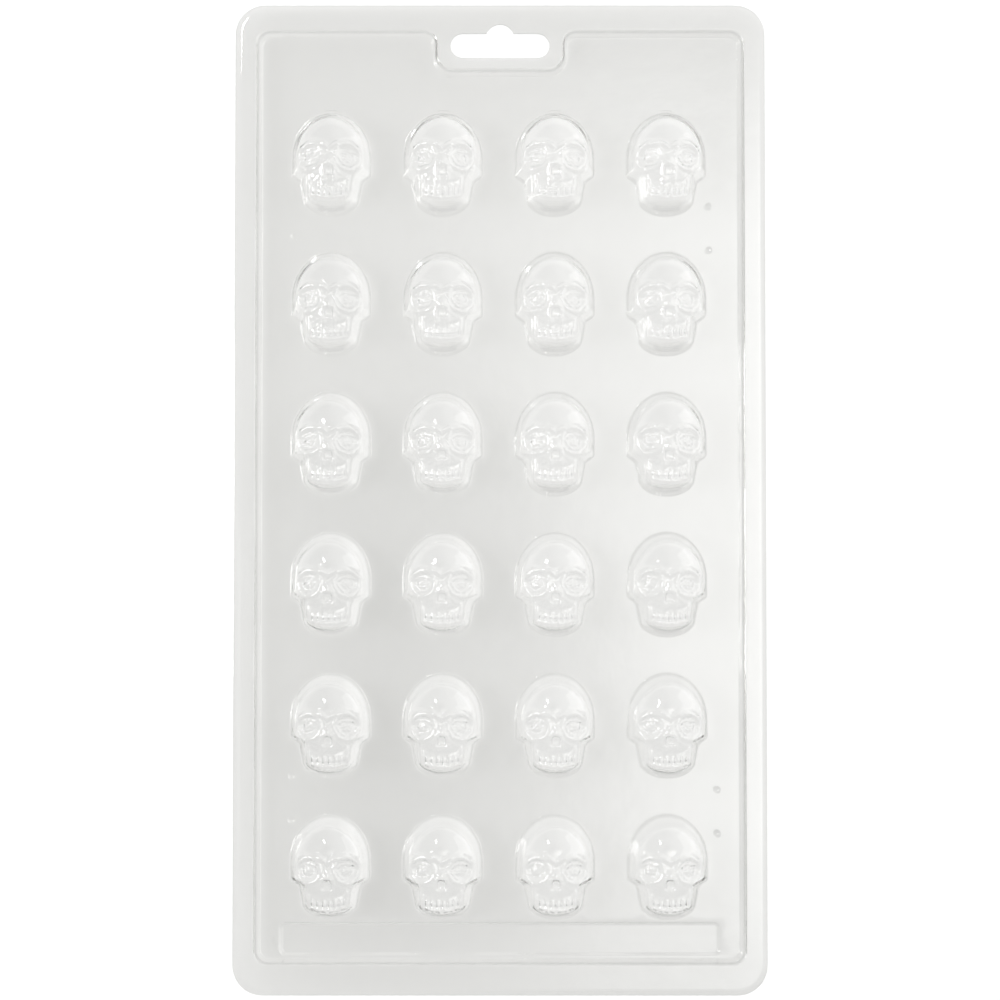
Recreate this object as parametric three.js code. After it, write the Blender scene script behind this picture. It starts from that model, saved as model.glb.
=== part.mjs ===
// Skull candy mould: one clear sheet, vacuum formed over a plate with rows of skull pockets.
// It lies as it came off the tool, with the bumps up, so every cavity opens downwards.
// X runs across the sheet, Y runs towards the hang slot and Z points out of the bumps.
// The origin is under the middle of the sheet, on the surface that it lies on. Sizes are in mm.

import * as THREE from 'three';

// Sheet
const sheetWidth = 133;
const sheetLength = 247.5;
const sheetCorner = 7.5;
const sheetThickness = 0.5;

// Flange round the edge, with its outer lip turned down
const flangeSide = 5.2;
const flangeTop = 6.15;
const flangeBottom = 7.35;
const lipWidth = 1.5;
const lipDrop = 0.4;

// Step from the flange down to the deck
const stepHeight = 3;
const stepRun = 1.4;
const stepBend = 0.35;
const deckCorner = 2.2;

// Hang tab, a part of the flange that reaches into the deck
const tabWidth = 31.5;
const tabReach = 16;
const tabNeckCorner = 2;
const tabEndCorner = 5.2;

// Hang slot: a round-ended bar with a round crown above it
const slotLength = 24.8;
const slotHeight = 6.1;
const slotFromEdge = 10.3;
const slotCrownRadius = 3.6;
const slotCrownRise = 1.8;

// Bare label panel, pressed below the deck along its bottom edge
const panelEndGap = 4.7;
const panelHeight = 8.6;
const panelDepth = 0.8;
const panelRun = 0.5;
const panelCorner = 1.7;
const panelToStep = 0.35;

// Skulls on the deck
const skullColumns = 4;
const skullRows = 6;
const columnPitch = 28.15;
const rowPitch = 35.33;
const gridShiftX = -0.3;
const gridShiftY = -4.2;

// Outline of a skull where it meets the deck, measured from its middle
const craniumHalfWidth = 9.8;
const craniumTop = 13.5;
const craniumWidestAt = 1.5;
const cheekLow = -2.6;
const cheekNotchDrop = 1.9;
const jawHalfWidth = 7.7;
const jawTaper = 0.8;
const chinStart = -9.2;
const chinBottom = -13.5;

// Walls and crown of a skull, with a longer slope at the chin
const wallHeight = 4.7;
const wallRun = 1.85;
const chinRun = 3.4;
const crownHeight = 8.5;
const crownFullness = 2.6;

// Eye sockets: squarish, tilted down towards the nose, with a brow ridge above
const eyeSpacing = 9.2;
const eyeLevel = 0.7;
const eyeHalfWidth = 2.6;
const eyeHalfHeight = 2.85;
const eyeSquareness = 2.6;
const eyeFloorShare = 0.55;
const eyeDepth = 1.8;
const browSlope = 0.26;
const browAboveEye = 3.9;
const browHalfWidth = 1.3;
const browRise = 0.55;

// Nose opening, pointed at its top
const noseTop = -1.2;
const noseBottom = -4.3;
const noseHalfWidth = 1.5;
const noseTaper = 0.75;
const noseDepth = 1.1;

// Cheekbones, muzzle and mouth
const cheekboneX = 6.1;
const cheekboneY = -3.4;
const cheekboneReach = 2.2;
const cheekboneRise = 0.45;
const mouthLevel = -8.4;
const mouthHalfWidth = 4.6;
const mouthDepth = 0.5;
const lipHeight = 0.8;
const teethHeight = 1.5;
const muzzleReach = 4;
const muzzleRise = 0.4;

// Facets
const cornerSteps = 3;
const eyeSteps = 10;
const slotSteps = 8;
const craniumSteps = 6;
const chinSteps = 3;
const foreheadShare = 0.62;
const foreheadAngles = [22, 48, 76];
const middleBow = 0.01;

const halfWidth = sheetWidth / 2;
const halfLength = sheetLength / 2;
const panelLevel = sheetThickness;
const deckLevel = panelLevel + panelDepth;
const flangeLevel = deckLevel + stepHeight;

// Rounds the corners of a polygon that runs anticlockwise and moves its sides outwards by
// grow. Every corner keeps the same number of points, so that two of these make a strip.
function roundedLoop(corners, grow) {
  const loop = [];
  const count = corners.length;
  for (let i = 0; i < count; i += 1) {
    const here = new THREE.Vector2(corners[i].x, corners[i].y);
    const before = corners[(i + count - 1) % count];
    const after = corners[(i + 1) % count];
    const inwards = here.clone().sub(before).normalize();
    const onwards = new THREE.Vector2(after.x, after.y).sub(here).normalize();
    const turn = Math.atan2(inwards.cross(onwards), inwards.dot(onwards));
    const side = Math.sign(turn);
    const setback = corners[i].r * Math.tan(Math.abs(turn) / 2);
    const start = here.clone().addScaledVector(inwards, -setback);
    const toCentre = new THREE.Vector2(-inwards.y, inwards.x).multiplyScalar(side * corners[i].r);
    const centre = start.clone().add(toCentre);
    const spoke = start.clone().sub(centre).normalize();
    for (let step = 0; step <= cornerSteps; step += 1) {
      const swing = spoke.clone().rotateAround(new THREE.Vector2(), turn * step / cornerSteps);
      loop.push(centre.clone().addScaledVector(swing, corners[i].r + side * grow));
    }
  }
  return loop;
}

function rectangle(left, right, bottom, top, r) {
  return [
    { x: left, y: bottom, r },
    { x: right, y: bottom, r },
    { x: right, y: top, r },
    { x: left, y: top, r },
  ];
}

// Deck outline at the foot of the step, with the notch that the hang tab takes from it
const deckSide = halfWidth - flangeSide - stepRun;
const deckTop = halfLength - flangeTop - stepRun;
const deckBottom = -halfLength + flangeBottom + stepRun;
const tabSide = tabWidth / 2 + stepRun;
const tabEnd = halfLength - tabReach - stepRun;
const deckCorners = [
  { x: -deckSide, y: deckBottom, r: deckCorner },
  { x: deckSide, y: deckBottom, r: deckCorner },
  { x: deckSide, y: deckTop, r: deckCorner },
  { x: tabSide, y: deckTop, r: tabNeckCorner },
  { x: tabSide, y: tabEnd, r: tabEndCorner },
  { x: -tabSide, y: tabEnd, r: tabEndCorner },
  { x: -tabSide, y: deckTop, r: tabNeckCorner },
  { x: -deckSide, y: deckTop, r: deckCorner },
];

const panelEnd = deckSide - panelEndGap;
const panelBottom = deckBottom + panelToStep;
const panelCorners = rectangle(
  -panelEnd, panelEnd, panelBottom, panelBottom + panelHeight, panelCorner,
);

// The slot's outline, clockwise from the left end: bar, crown and bar again
function slotLoop() {
  const loop = [];
  const middle = halfLength - slotFromEdge;
  const radius = slotHeight / 2;
  const reach = slotLength / 2 - radius;
  const crownMiddle = middle + slotCrownRise;
  const rise = Math.asin((radius - slotCrownRise) / slotCrownRadius);
  for (let step = 0; step <= slotSteps; step += 1) {
    const angle = -Math.PI / 2 - Math.PI * step / slotSteps;
    loop.push(new THREE.Vector2(
      -reach + radius * Math.cos(angle),
      middle + radius * Math.sin(angle),
    ));
  }
  for (let step = 0; step <= slotSteps; step += 1) {
    const angle = Math.PI - rise - (Math.PI - 2 * rise) * step / slotSteps;
    loop.push(new THREE.Vector2(
      slotCrownRadius * Math.cos(angle),
      crownMiddle + slotCrownRadius * Math.sin(angle),
    ));
  }
  for (let step = 0; step <= slotSteps; step += 1) {
    const angle = Math.PI / 2 - Math.PI * step / slotSteps;
    loop.push(new THREE.Vector2(
      reach + radius * Math.cos(angle),
      middle + radius * Math.sin(angle),
    ));
  }
  return loop;
}

// Right half of a skull's outline from the top to the chin, moved inwards by inset and at the
// chin by chinInset
function skullHalf(inset, chinInset) {
  const half = [];
  const width = craniumHalfWidth - inset;
  const rise = craniumTop - craniumWidestAt - inset;
  for (let step = 0; step <= craniumSteps; step += 1) {
    const angle = Math.PI / 2 * (1 - step / craniumSteps);
    half.push(new THREE.Vector2(width * Math.cos(angle), craniumWidestAt + rise * Math.sin(angle)));
  }
  const notchHalfAngle = Math.atan2(craniumHalfWidth - jawHalfWidth, cheekNotchDrop) / 2;
  const cornerShift = inset * Math.tan(notchHalfAngle);
  const jaw = jawHalfWidth - inset;
  const chin = jaw - jawTaper;
  half.push(new THREE.Vector2(width, cheekLow + cornerShift));
  half.push(new THREE.Vector2(jaw, cheekLow - cheekNotchDrop + cornerShift));
  const start = chinStart + (chinInset - inset) / 2;
  const drop = start - chinBottom - chinInset;
  for (let step = 0; step <= chinSteps; step += 1) {
    const angle = -Math.PI / 2 * step / chinSteps;
    half.push(new THREE.Vector2(chin * Math.cos(angle), start + drop * Math.sin(angle)));
  }
  half[0].x = 0;
  half[half.length - 1].x = 0;
  return half;
}

// Smooth hump, 1 at its middle and 0 from its edge on
function hump(distance) {
  const inside = Math.max(0, 1 - distance * distance);
  return inside * inside;
}

// Smooth ramp from 0 to 1
function ramp(low, high, value) {
  const share = Math.min(1, Math.max(0, (value - low) / (high - low)));
  return share * share * (3 - 2 * share);
}

// Reach of the face from the cranium's widest level to the top of the wall
const reachSide = craniumHalfWidth - wallRun;
const reachUp = craniumTop - craniumWidestAt - wallRun;
const reachDown = craniumWidestAt - chinBottom - chinRun;

// Size of a squarish ring through a point, 1 on the rim of an eye socket
function eyeRing(x, y) {
  const p = eyeSquareness;
  return Math.pow(Math.abs(x / eyeHalfWidth) ** p + Math.abs(y / eyeHalfHeight) ** p, 1 / p);
}

// Height of a skull above the deck at a point inside the top of its wall
function faceHeight(x, y) {
  const side = Math.abs(x);
  const rise = y - craniumWidestAt;
  const spread = Math.hypot(side / reachSide, rise / (rise > 0 ? reachUp : reachDown));
  const fall = Math.pow(Math.min(1, spread), crownFullness);
  const dome = crownHeight - (crownHeight - wallHeight) * fall;
  const eyeX = side - eyeSpacing / 2;
  const tilt = browSlope * eyeX;
  const eye = ramp(1, eyeFloorShare, eyeRing(eyeX, y - eyeLevel - (y > eyeLevel ? tilt : 0)));
  const browY = y - eyeLevel - browAboveEye - tilt;
  const brow = hump(browY / browHalfWidth) * ramp(eyeSpacing, eyeSpacing / 2, side);
  const noseShare = (y - noseBottom) / (noseTop - noseBottom);
  const noseHalf = noseHalfWidth * (1 - noseTaper * noseShare);
  const nose = noseShare < 0 ? 0 : hump(side / noseHalf / 2) * ramp(1, noseTaper / 2, noseShare);
  const cheekbone = hump(Math.hypot(side - cheekboneX, y - cheekboneY) / cheekboneReach);
  const muzzle = hump(side / mouthHalfWidth / 2) * hump((y - mouthLevel) / muzzleReach);
  const mouth = ramp(lipHeight, 0, Math.abs(y - mouthLevel)) * hump(side / mouthHalfWidth / 2);
  return dome - eyeDepth * eye + browRise * brow - noseDepth * nose
    + cheekboneRise * cheekbone + muzzleRise * muzzle - mouthDepth * mouth;
}

// Points of the face that its facets need, right half only
function facePoints() {
  const points = [];
  const eyeX = eyeSpacing / 2;
  const put = (x, y) => points.push(new THREE.Vector2(x, y));
  for (let step = 0; step < eyeSteps; step += 1) {
    const angle = 2 * Math.PI * (step + 0.5) / eyeSteps;
    const direction = { x: Math.cos(angle), y: Math.sin(angle) };
    const rim = 1 / eyeRing(direction.x, direction.y);
    for (const share of step % 2 === 0 ? [1, eyeFloorShare] : [1]) {
      const x = share * rim * direction.x;
      const y = share * rim * direction.y;
      put(eyeX + x, eyeLevel + y + (y > 0 ? browSlope * x : 0));
    }
  }
  for (const x of [-eyeHalfWidth, 0, eyeHalfWidth]) {
    put(eyeX + x, eyeLevel + browAboveEye + browSlope * x);
  }
  for (const degrees of foreheadAngles) {
    const angle = THREE.MathUtils.degToRad(degrees);
    put(
      foreheadShare * reachSide * Math.cos(angle),
      craniumWidestAt + foreheadShare * reachUp * Math.sin(angle) + browHalfWidth,
    );
  }
  put(noseHalfWidth, noseBottom);
  put(noseHalfWidth * (1 - noseTaper), noseTop);
  put(cheekboneX - cheekboneReach / 2, cheekboneY);
  put(mouthHalfWidth, mouthLevel);
  put(mouthHalfWidth / 2, mouthLevel);
  put(mouthHalfWidth, mouthLevel + teethHeight);
  put(mouthHalfWidth / 2, mouthLevel + teethHeight);
  put(mouthHalfWidth / 2, mouthLevel - teethHeight / 2);
  return points;
}

// Points of the face on its middle line, from the chin up
function middlePoints() {
  const browLevel = eyeLevel + browAboveEye - browSlope * eyeSpacing / 2;
  return [
    mouthLevel - teethHeight / 2, mouthLevel, mouthLevel + teethHeight, noseBottom,
    noseTop, eyeLevel, browLevel, craniumWidestAt + foreheadShare * reachUp,
    craniumWidestAt + (1 + foreheadShare) / 2 * reachUp,
  ].map((y) => new THREE.Vector2(0, y));
}

function area(a, b, c) {
  return (b.x - a.x) * (c.y - a.y) - (b.y - a.y) * (c.x - a.x);
}

// True if d lies inside the circle through a, b and c, which run anticlockwise
function inCircle(a, b, c, d) {
  const rows = [a, b, c].map((p) => [p.x - d.x, p.y - d.y, (p.x - d.x) ** 2 + (p.y - d.y) ** 2]);
  const [p, q, r] = rows;
  const value = p[0] * (q[1] * r[2] - r[1] * q[2])
    - p[1] * (q[0] * r[2] - r[0] * q[2])
    + p[2] * (q[0] * r[1] - r[0] * q[1]);
  return value > 1e-7;
}

// Swaps the shared side of two triangles wherever that makes them less thin
function swapThinSides(points, faces) {
  for (let round = 0; round < 40; round += 1) {
    const owner = new Map();
    faces.forEach((face, f) => {
      face.forEach((a, k) => owner.set(`${a},${face[(k + 1) % 3]}`, { f, opposite: face[(k + 2) % 3] }));
    });
    const touched = new Set();
    for (const [side, mine] of owner) {
      const [a, b] = side.split(',').map(Number);
      const other = owner.get(`${b},${a}`);
      if (!other || a > b || touched.has(mine.f) || touched.has(other.f)) continue;
      const [c, d] = [mine.opposite, other.opposite];
      const convex = area(points[c], points[a], points[d]) > 1e-6
        && area(points[d], points[b], points[c]) > 1e-6;
      if (!convex || !inCircle(points[a], points[b], points[c], points[d])) continue;
      faces[mine.f] = [c, a, d];
      faces[other.f] = [d, b, c];
      touched.add(mine.f);
      touched.add(other.f);
    }
    if (touched.size === 0) return;
  }
}

// Triangles of an anticlockwise outline with holes, and with loose points inside it
function fill(outline, holes, loose) {
  const faces = THREE.ShapeUtils.triangulateShape(outline, holes);
  const points = [outline, ...holes, loose].flat();
  const first = points.length - loose.length;
  faces.forEach((face) => {
    if (area(points[face[0]], points[face[1]], points[face[2]]) < 0) face.reverse();
  });
  loose.forEach((point, k) => {
    const at = faces.findIndex(([a, b, c]) => area(points[a], points[b], point) > -1e-9
      && area(points[b], points[c], point) > -1e-9
      && area(points[c], points[a], point) > -1e-9);
    if (at < 0) return;
    const [a, b, c] = faces[at];
    faces.splice(at, 1, [a, b, first + k], [b, c, first + k], [c, a, first + k]);
    swapThinSides(points, faces);
  });
  swapThinSides(points, faces);
  return faces;
}

// The formed upper surface: points that share a place share a number
const surface = { points: [], numbers: new Map(), faces: [] };

function numberOf(x, y, z) {
  const key = [x, y].map((value) => Math.round(value * 1000)).join(',');
  if (!surface.numbers.has(key)) {
    surface.numbers.set(key, surface.points.length);
    surface.points.push(new THREE.Vector3(x, y, z));
  }
  return surface.numbers.get(key);
}

function addFace(a, b, c) {
  if (a !== b && b !== c && c !== a) surface.faces.push([a, b, c]);
}

function numbered(loop, z) {
  return loop.map((point) => numberOf(point.x, point.y, z));
}

// Joins an inner loop to an outer one with as many points, both anticlockwise
function addStrip(inner, outer) {
  const count = inner.length;
  for (let i = 0; i < count; i += 1) {
    const next = (i + 1) % count;
    addFace(inner[i], outer[i], outer[next]);
    addFace(inner[i], outer[next], inner[next]);
  }
}

function addFlat(outline, holes, z) {
  const numbers = numbered([outline, ...holes].flat(), z);
  fill(outline, holes, []).forEach(([a, b, c]) => addFace(numbers[a], numbers[b], numbers[c]));
}

// Whole anticlockwise outline of a skull, from the top down its left side
function skullLoop(inset, chinInset) {
  const half = skullHalf(inset, chinInset);
  const left = half.map((point) => new THREE.Vector2(-point.x, point.y));
  return [...left, ...half.slice(1, -1).reverse()];
}

function moved(loop, x, y) {
  return loop.map((point) => new THREE.Vector2(point.x + x, point.y + y));
}

// Right half of the face inside the wall: its edge, then the loose points. The plan bows the
// middle line by a hair, because points on a straight side would be left out of the triangles.
const faceEdge = [...skullHalf(wallRun, chinRun).reverse(), ...middlePoints().reverse()];
const bowedEdge = faceEdge.map((point) => new THREE.Vector2(
  point.x === 0 ? -middleBow * (1 - ((point.y - craniumWidestAt) / craniumTop) ** 2) : point.x,
  point.y,
));
const faceFaces = fill(bowedEdge, [], facePoints());
const facePlan = [...faceEdge, ...facePoints()];

function addSkull(x, y) {
  const lifted = (point, side) => numberOf(
    side * point.x + x, point.y + y, deckLevel + faceHeight(point.x, point.y),
  );
  const base = numbered(moved(skullLoop(0, 0), x, y), deckLevel);
  const wallTop = skullLoop(wallRun, chinRun).map((point) => lifted(point, 1));
  addStrip(wallTop, base);
  faceFaces.forEach((face) => {
    const [a, b, c] = face.map((k) => facePlan[k]);
    addFace(lifted(a, 1), lifted(b, 1), lifted(c, 1));
    addFace(lifted(a, -1), lifted(c, -1), lifted(b, -1));
  });
}

// Rim: lip, flange with the slot through its tab, and the step down to the deck
const outerEdge = rectangle(-halfWidth, halfWidth, -halfLength, halfLength, sheetCorner);
const edgeLoop = roundedLoop(outerEdge, 0);
const lipLoop = roundedLoop(outerEdge, -lipWidth);
const stepTop = roundedLoop(deckCorners, stepRun);
const stepUpper = roundedLoop(deckCorners, stepRun - stepBend);
const stepFoot = roundedLoop(deckCorners, 0);
const slot = slotLoop();
addStrip(numbered(lipLoop, flangeLevel), numbered(edgeLoop, flangeLevel - lipDrop));
addFlat(lipLoop, [stepTop, slot], flangeLevel);
addStrip(numbered(stepUpper, flangeLevel - stepBend), numbered(stepTop, flangeLevel));
addStrip(numbered(stepFoot, deckLevel), numbered(stepUpper, flangeLevel - stepBend));

// Deck with its panel and skulls
const panelEdge = roundedLoop(panelCorners, 0);
const panelFloor = roundedLoop(panelCorners, -panelRun);
const skullPlaces = [];
for (let row = 0; row < skullRows; row += 1) {
  for (let column = 0; column < skullColumns; column += 1) {
    skullPlaces.push({
      x: gridShiftX + (column - (skullColumns - 1) / 2) * columnPitch,
      y: gridShiftY + ((skullRows - 1) / 2 - row) * rowPitch,
    });
  }
}
const skullHoles = skullPlaces.map(({ x, y }) => moved(skullLoop(0, 0), x, y));
addFlat(stepFoot, [panelEdge, ...skullHoles], deckLevel);
addStrip(numbered(panelFloor, panelLevel), numbered(panelEdge, deckLevel));
addFlat(panelFloor, [], panelLevel);
skullPlaces.forEach(({ x, y }) => addSkull(x, y));

// Offset from the upper surface to the lower one at every point, so that the sheet keeps its
// thickness on each of the faces that meet there
function thicknessSteps() {
  const faceNormals = surface.faces.map(([a, b, c]) => new THREE.Triangle(
    surface.points[a], surface.points[b], surface.points[c],
  ).getNormal(new THREE.Vector3()));
  const sums = surface.points.map(() => new THREE.Vector3());
  surface.faces.forEach((face, f) => face.forEach((a, k) => {
    const to = surface.points[face[(k + 1) % 3]].clone().sub(surface.points[a]);
    const from = surface.points[face[(k + 2) % 3]].clone().sub(surface.points[a]);
    sums[a].addScaledVector(faceNormals[f], to.angleTo(from));
  }));
  sums.forEach((sum) => sum.normalize());
  const spread = surface.points.map(() => ({ total: 0, weight: 0, level: false }));
  surface.faces.forEach((face, f) => face.forEach((a) => {
    spread[a].total += faceNormals[f].dot(sums[a]);
    spread[a].weight += 1;
    spread[a].level ||= faceNormals[f].z > 0.99999;
  }));
  return sums.map((sum, a) => {
    const step = sum.multiplyScalar(-sheetThickness * spread[a].weight / spread[a].total);
    if (spread[a].level) step.z = -sheetThickness;
    return step;
  });
}

// Closes the upper and the lower surface into one solid
function sheetGeometry() {
  const count = surface.points.length;
  const steps = thicknessSteps();
  const lower = surface.points.map((point, a) => point.clone().add(steps[a]));
  const owners = new Set();
  surface.faces.forEach((face) => face.forEach((a, k) => owners.add(`${a},${face[(k + 1) % 3]}`)));
  const index = [];
  surface.faces.forEach(([a, b, c]) => index.push(a, b, c, a + count, c + count, b + count));
  for (const side of owners) {
    const [a, b] = side.split(',').map(Number);
    if (owners.has(`${b},${a}`)) continue;
    index.push(a, a + count, b + count, a, b + count, b);
  }
  const geometry = new THREE.BufferGeometry();
  const places = [...surface.points, ...lower].flatMap((point) => point.toArray());
  geometry.setAttribute('position', new THREE.Float32BufferAttribute(places, 3));
  geometry.setIndex(index);
  geometry.computeVertexNormals();
  return geometry;
}

const clearPlastic = new THREE.MeshStandardMaterial({
  color: 0xe9ebec,
  roughness: 0.08,
  metalness: 0,
  transparent: true,
  opacity: 0.35,
});

const mould = new THREE.Group();
const mouldSheet = new THREE.Mesh(sheetGeometry(), clearPlastic);
mouldSheet.name = 'mould_sheet';
mould.add(mouldSheet);

export default mould;
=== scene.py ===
from math import cos, hypot, pi, radians, sin, tan

import bpy
import numpy as np
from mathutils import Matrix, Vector
from mathutils.geometry import delaunay_2d_cdt


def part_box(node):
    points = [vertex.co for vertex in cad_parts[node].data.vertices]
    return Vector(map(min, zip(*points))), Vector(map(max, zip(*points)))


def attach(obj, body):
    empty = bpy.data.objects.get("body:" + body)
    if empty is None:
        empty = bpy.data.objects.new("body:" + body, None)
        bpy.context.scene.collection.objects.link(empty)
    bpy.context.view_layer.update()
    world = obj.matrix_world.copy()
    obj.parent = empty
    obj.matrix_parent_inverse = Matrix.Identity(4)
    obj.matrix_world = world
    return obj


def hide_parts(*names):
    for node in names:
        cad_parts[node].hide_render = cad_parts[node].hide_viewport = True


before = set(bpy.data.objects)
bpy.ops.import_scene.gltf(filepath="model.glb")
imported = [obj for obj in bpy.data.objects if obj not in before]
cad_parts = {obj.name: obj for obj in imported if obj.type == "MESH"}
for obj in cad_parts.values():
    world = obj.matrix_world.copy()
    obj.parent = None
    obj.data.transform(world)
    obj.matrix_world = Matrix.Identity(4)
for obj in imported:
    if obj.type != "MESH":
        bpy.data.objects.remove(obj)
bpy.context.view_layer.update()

# Skulls. Each bump is a shallow half skull that the candy is cast in, carved once and repeated.
# The mould is one clear plastic sheet, drawn down hot by vacuum over the tool, so its underside
# has the tool's shape and its top is that shape grown by the thickness of the sheet.
MM = 0.001  # lengths are in millimetres until the mesh is made, heights those of the underside
thickness = 0.3
deck_under = 0.8
skull_columns, skull_rows = 4, 6
column_pitch, row_pitch = 28.15, 35.33
grid_x, grid_y = -0.3, -4.35
cranium_half_width, cranium_top, cranium_level = 9.95, 13.3, 1.5
cheek_low, notch_drop = -2.9, 1.5
jaw_half_width, jaw_taper = 7.8, 0.8
chin_start, chin_bottom = -8.6, -13.0
wall_height, wall_run, chin_run = 4.7, 1.5, 2.4
wall_slip = thickness * tan(0.5 * np.arctan2(wall_height, wall_run))
chin_border_share = 0.4  # keeps the bottom row's chins clear of the label panel
chin_across, chin_down = 0.95, 1.05  # powers of the chin's oval
crown_points, chin_points = 24, 18


def skull_outline(inset, count=104, smoothing=14, finer=8):
    """Anticlockwise outline of a skull where it meets the deck, moved inwards by inset."""
    if inset < 0:
        chin_inset = chin_border_share * inset
    elif inset < wall_slip:
        chin_inset = inset
    else:
        chin_inset = wall_slip + (inset - wall_slip) * chin_run / wall_run
    width = cranium_half_width - inset
    rise = cranium_top - cranium_level - inset
    jaw = jaw_half_width - inset
    shift = inset / 2
    half = [
        (width * sin(a), cranium_level + rise * cos(a))
        for a in np.linspace(0, pi / 2, crown_points)
    ]
    half += [(width, cheek_low + shift), (jaw, cheek_low - notch_drop + shift)]
    chin = jaw - jaw_taper
    drop = chin_start - chin_bottom - chin_inset
    half += [
        (chin * cos(a) ** chin_across, chin_start - drop * sin(a) ** chin_down)
        for a in np.linspace(0, pi / 2, chin_points)[:-1]
    ]
    half = np.array(half + [(0, chin_bottom + chin_inset)])
    whole = np.concatenate([half * (-1, 1), half[-2:0:-1]])
    steps = np.hypot(*(np.roll(whole, -1, 0) - whole).T)
    along = np.concatenate([[0], np.cumsum(steps)])
    closed = np.concatenate([whole, whole[:1]])
    fine = np.linspace(0, along[-1], finer * count, endpoint=False)
    even = np.stack([np.interp(fine, along, closed[:, k]) for k in (0, 1)], 1)
    for _ in range(smoothing):
        even = (np.roll(even, 1, 0) + 2 * even + np.roll(even, -1, 0)) / 4
    return even[::finer]


def smooth(start, end, value):
    """Ramp from 0 at start to 1 at end, level at both."""
    share = np.clip((value - start) / (end - start), 0, 1)
    return share * share * (3 - 2 * share)


def hump(distance):
    """Round bump, 1 at 0 and level with its surroundings at 1."""
    return np.clip(1 - distance * distance, 0, 1) ** 2


def oval(side, y, middle, half):
    """Round bump over an oval, given by its middle and its half sizes."""
    return hump(np.hypot((side - middle[0]) / half[0], (y - middle[1]) / half[1]))


# The round of the whole face. It is the same on both sides of its middle, and side is the
# distance from there
crown_height, crown_fullness = 8.4, 2.6


def dome(side, y):
    """Height of the plain round bump, before anything is carved in it."""
    rise = y - cranium_level
    crown_reach = cranium_top - cranium_level - wall_run
    chin_reach = cranium_level - chin_bottom - chin_run
    reach = np.where(rise > 0, crown_reach, chin_reach)
    spread = np.hypot(side / (cranium_half_width - wall_run), rise / reach)
    return crown_height - (crown_height - wall_height) * spread**crown_fullness


brow_root, brow_top, brow_half_width, brow_rise = 2.4, 4.1, 1.0, 0.5
brow_arch, brow_droop_start, brow_droop, brow_fade = 3.4, 4.4, 0.22, (8.2, 6.4)
furrow_root, furrow_start, furrow_slope = 3.1, 0.6, 0.8
furrow_half_width, furrow_rise = 0.55, 0.26
furrow_inner_end, furrow_outer_end = (0.3, 1.0), (3.6, 2.6)


def brow(side, y):
    """Scowling brow, low over the nose and arched over each eye, with a furrow above it."""
    arch = np.sqrt(np.clip(side / brow_arch, 0, 1))
    line = brow_root + (brow_top - brow_root) * arch
    line -= brow_droop * np.clip(side - brow_droop_start, 0, None) ** 2
    ridge = brow_rise * hump((y - line) / brow_half_width) * smooth(*brow_fade, side)
    line = furrow_root + furrow_slope * (side - furrow_start)
    furrow = furrow_rise * hump((y - line) / furrow_half_width)
    return ridge + furrow * smooth(*furrow_inner_end, side) * smooth(*furrow_outer_end, side)


# Shares of a socket's half size say where its slope, its raised rim and its stippled floor lie
eye_spacing, eye_level, eye_half_width, eye_half_height = 9.3, 0.7, 2.75, 2.9
eye_depth, eye_slope = 1.25, (1.05, 0.5)
rim_place, rim_half_width, rim_rise, rim_fade = 1.1, 0.22, 0.26, (4.2, 3.0)
stipple_rise, stipple_edge = 0.2, (0.98, 0.75)
eyeball_drop, eyeball_radius, eyeball_rise = 0.35, 2.1111, 0.45
lid_drop, lid_radius, lid_half_width, lid_rise = 1.6, 3.1, 0.16, 0.4
lid_lower_edge, lid_outer_edge = (0.2, 1.0), (0.95, 0.75)


def eye(x, y):
    """Deep socket with a raised rim, and the round of an eyeball half under its lid."""
    across = np.abs(x) - eye_spacing / 2
    above = y - eye_level
    ring = np.hypot(across / eye_half_width, above / eye_half_height)
    height = -eye_depth * smooth(*eye_slope, ring)
    height += rim_rise * hump((ring - rim_place) / rim_half_width) * smooth(*rim_fade, y)
    stipple = np.sin(4.6 * x + 1.9 * np.sin(3.1 * y)) * np.sin(4.9 * y + 1.7 * np.sin(3.7 * x + 1))
    height += stipple_rise * stipple * smooth(*stipple_edge, ring)
    height += eyeball_rise * hump(np.hypot(across, above + eyeball_drop) / eyeball_radius)
    lid = hump((np.hypot(across, above + lid_drop) / lid_radius - 1) / lid_half_width)
    return height + lid_rise * lid * smooth(*lid_lower_edge, above) * smooth(*lid_outer_edge, ring)


bridge_half_width, bridge_rise, bridge_head, bridge_foot = 1.9, 0.65, (1.4, -0.6), (-2.0, -1.4)
nose_half_width, nose_narrowest, nose_widens, nose_edge = 1.4, 0.6, (-1.5, -2.8), (1.15, 0.6)
nose_head, nose_foot, nose_foot_edge, nose_depth = (-1.4, -2.2), -4.0, 0.15, 0.7
septum_half_width, septum_rise = 0.5, 0.25


def nose(side, y):
    """Bridge of the nose, and the pear-shaped opening below it."""
    bridge = smooth(*bridge_head, y) * smooth(*bridge_foot, y)
    widening = nose_narrowest + (1 - nose_narrowest) * smooth(*nose_widens, y)
    opening = smooth(*nose_edge, side / (nose_half_width * widening)) * smooth(*nose_head, y)
    septum = septum_rise * hump(side / septum_half_width)
    opening *= smooth(nose_foot - septum_rise + septum, nose_foot + nose_foot_edge, y)
    return bridge_rise * bridge * hump(side / bridge_half_width) - nose_depth * opening


fold_place, fold_half_width, fold_rise = 1.35, 0.6, 0.3
fold_head, fold_foot = (-0.9, -1.6), (-7.0, -5.8)


def fold(side, y):
    """Upright fold on each side of the nose, running down to the teeth."""
    ridge = fold_rise * hump((side - fold_place) / fold_half_width)
    return ridge * smooth(*fold_head, y) * smooth(*fold_foot, y)


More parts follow.
